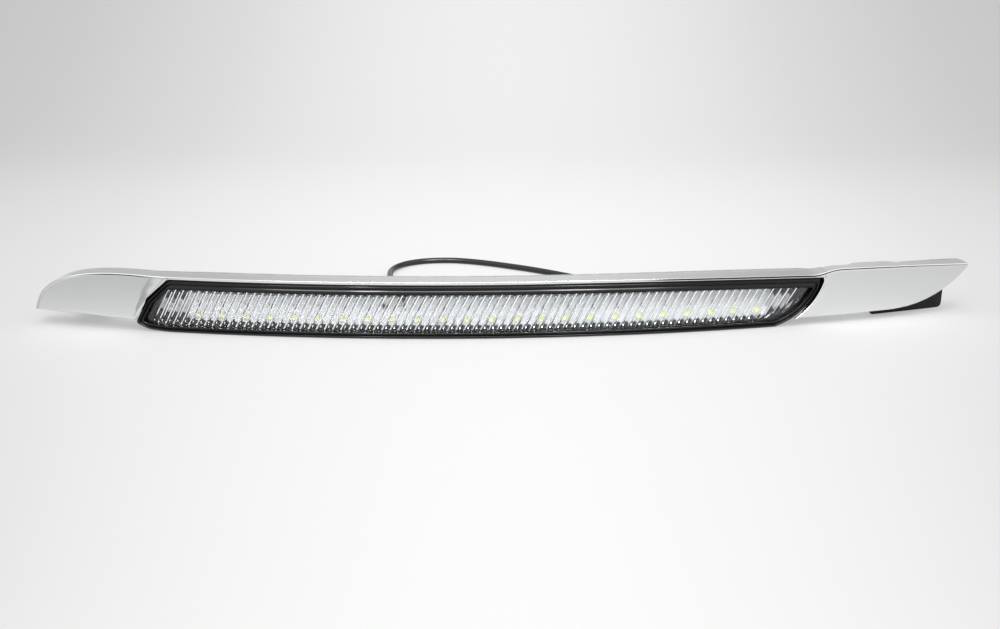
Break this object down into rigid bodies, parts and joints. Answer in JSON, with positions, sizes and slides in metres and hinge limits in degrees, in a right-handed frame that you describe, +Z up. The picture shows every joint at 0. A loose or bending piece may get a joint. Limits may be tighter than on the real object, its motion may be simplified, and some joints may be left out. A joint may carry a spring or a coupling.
{
  "type": "daytime running light",
  "caption": "Bowed daytime running light: a row of diodes behind a slanted fluted clear lens, in a black frame and a bright plated trim with two wings, with a cable and plug.",
  "frame": {"origin": "on the plane that the lamp's lower edge stands on, under the middle of the length and 10 mm behind the foremost point of the bow", "axes": "+X along the length towards the blade-shaped wing, +Y to the rear, away from the lens, +Z up"},
  "size_m": [0.4168, 0.125, 0.0259],
  "materials": {
    "chrome_plate": "bright plated plastic",
    "gloss_black": "gloss",
    "clear_lens": "clear, fluted",
    "seal_rubber": "matte",
    "housing_black": "satin moulded",
    "strip_aluminium": "satin",
    "board_white": "solder mask",
    "diode_white": "satin",
    "chip_brown": "satin",
    "chip_black": "satin",
    "solder": "bright",
    "wire_red": "gloss",
    "wire_black": "gloss",
    "steel": "zinc plated",
    "foam": "matte",
    "bracket_black": "satin moulded",
    "cable_black": "gloss",
    "plug_black": "satin moulded",
    "pin_brass": "tinned"
  },
  "bodies": {
    "root": {"chrome_trim": "chrome_plate", "lens_frame": "gloss_black", "lens": "clear_lens", "lens_seal": "seal_rubber", "lamp_housing": "housing_black", "heat_strip": "strip_aluminium", "light_board": "board_white", "led_01": "diode_white", "led_02": "diode_white", "led_03": "diode_white", "led_04": "diode_white", "led_05": "diode_white", "led_06": "diode_white", "led_07": "diode_white", "led_08": "diode_white", "led_09": "diode_white", "led_10": "diode_white", "led_11": "diode_white", "led_12": "diode_white", "led_13": "diode_white", "led_14": "diode_white", "led_15": "diode_white", "led_16": "diode_white", "led_17": "diode_white", "led_18": "diode_white", "led_19": "diode_white", "led_20": "diode_white", "led_21": "diode_white", "led_22": "diode_white", "led_23": "diode_white", "led_24": "diode_white", "resistors": "chip_brown", "reverse_diode": "chip_black", "solder_joints": "solder", "wire_red": "wire_red", "wire_black": "wire_black", "board_screws": "steel", "board_washers": "steel", "foam_tape": "foam", "lamp_screws": "steel", "left_bracket": "bracket_black", "right_bracket": "bracket_black", "bracket_screws": "steel", "cable_gland": "cable_black", "cable": "cable_black", "cable_coil": "cable_black", "cable_tail": "cable_black", "coil_tie": "plug_black", "plug_body": "plug_black", "plug_boot": "plug_black", "plug_pins": "pin_brass"}
  },
  "joints": []
}
